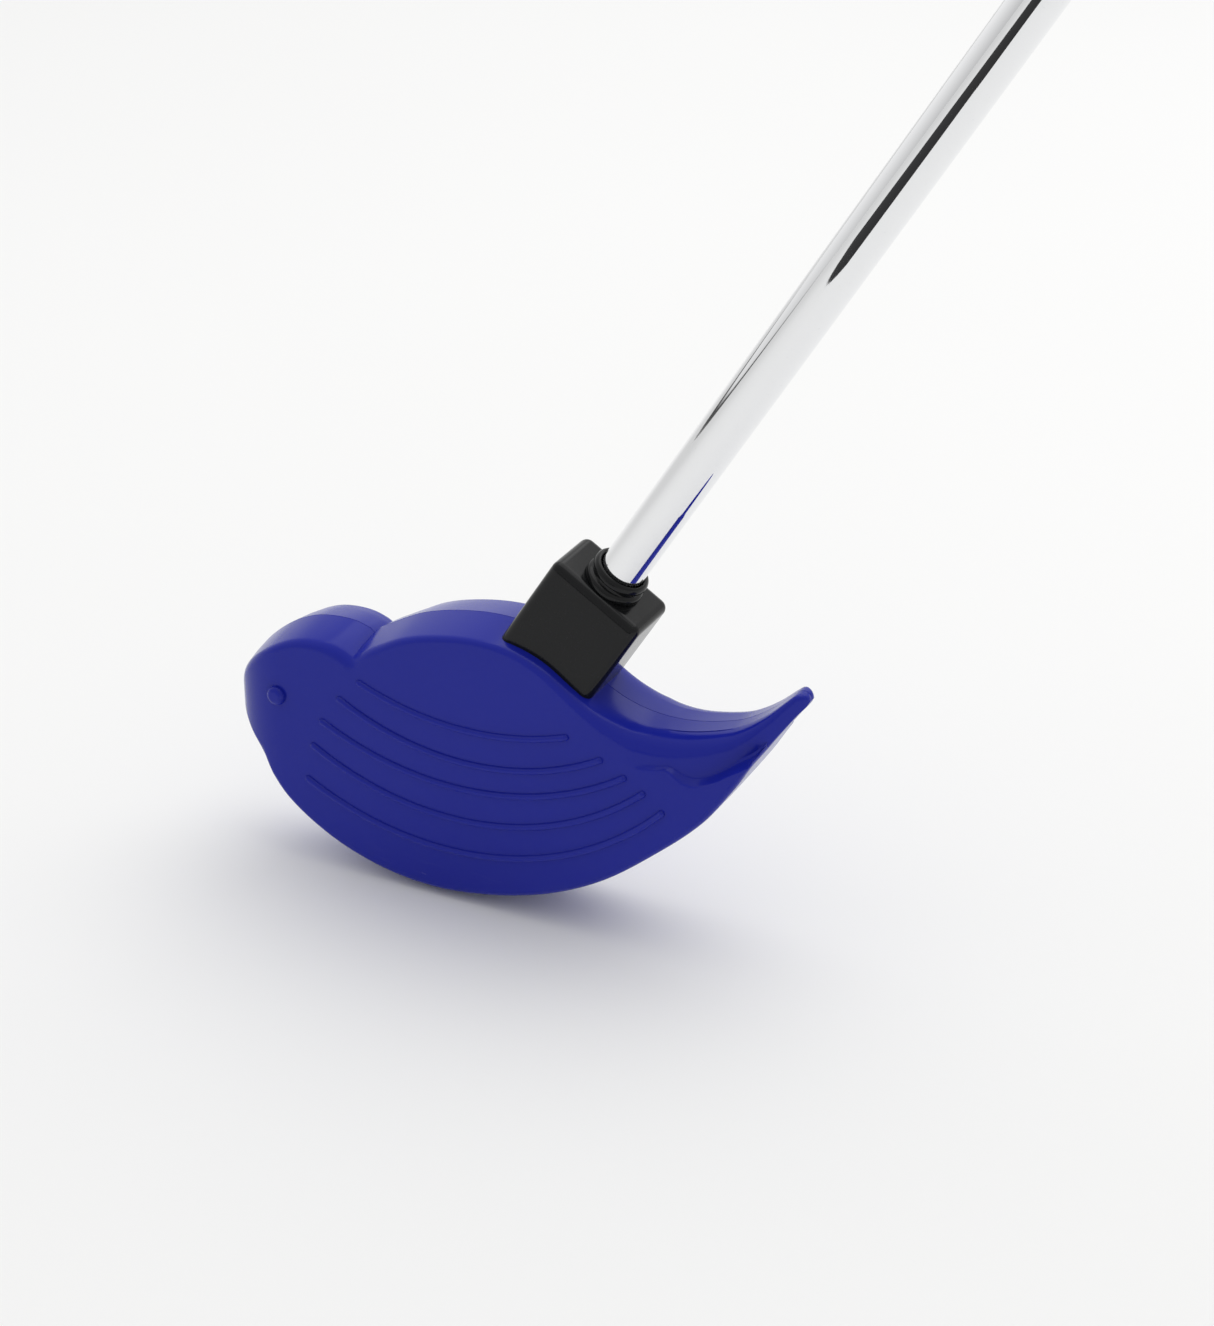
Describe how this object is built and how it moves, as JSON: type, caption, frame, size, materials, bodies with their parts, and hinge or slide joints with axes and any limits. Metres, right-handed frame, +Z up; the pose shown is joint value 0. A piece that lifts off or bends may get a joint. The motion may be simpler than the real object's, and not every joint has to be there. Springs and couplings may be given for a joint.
{
  "type": "mini-golf putter",
  "caption": "Two-way mini-golf putter with a moulded bird-shaped head, a black socket block with a ringed ferrule, a leaning chrome steel shaft and a rubber grip.",
  "frame": {"origin": "point where the shaft's axis meets the top of the socket block", "axes": "+X along the head from beak to tail, +Y from the front face to the rear face, +Z up with the club at address; the head's middle plane is y = 0 and the shaft leans 32.3 degrees from +Z towards +X"},
  "size_m": [0.5121, 0.0254, 0.7377],
  "materials": {
    "blue_plastic": "moulded, semi-gloss",
    "black_plastic": "moulded, glossy",
    "shaft_chrome": "bright chrome plate",
    "bar_steel": "as drawn",
    "plug_plastic": "plain",
    "tape": "paper-backed tape",
    "grip_rubber": "matt rubber"
  },
  "bodies": {
    "root": {"head_front_shell": "blue_plastic", "head_rear_shell": "blue_plastic", "ballast_bar": "bar_steel", "socket_block": "black_plastic", "ferrule": "black_plastic", "shaft_tube": "shaft_chrome", "tip_plug": "plug_plastic", "cross_pin": "bar_steel", "grip_tape": "tape", "grip_sleeve": "grip_rubber", "grip_cap": "grip_rubber"}
  },
  "joints": []
}
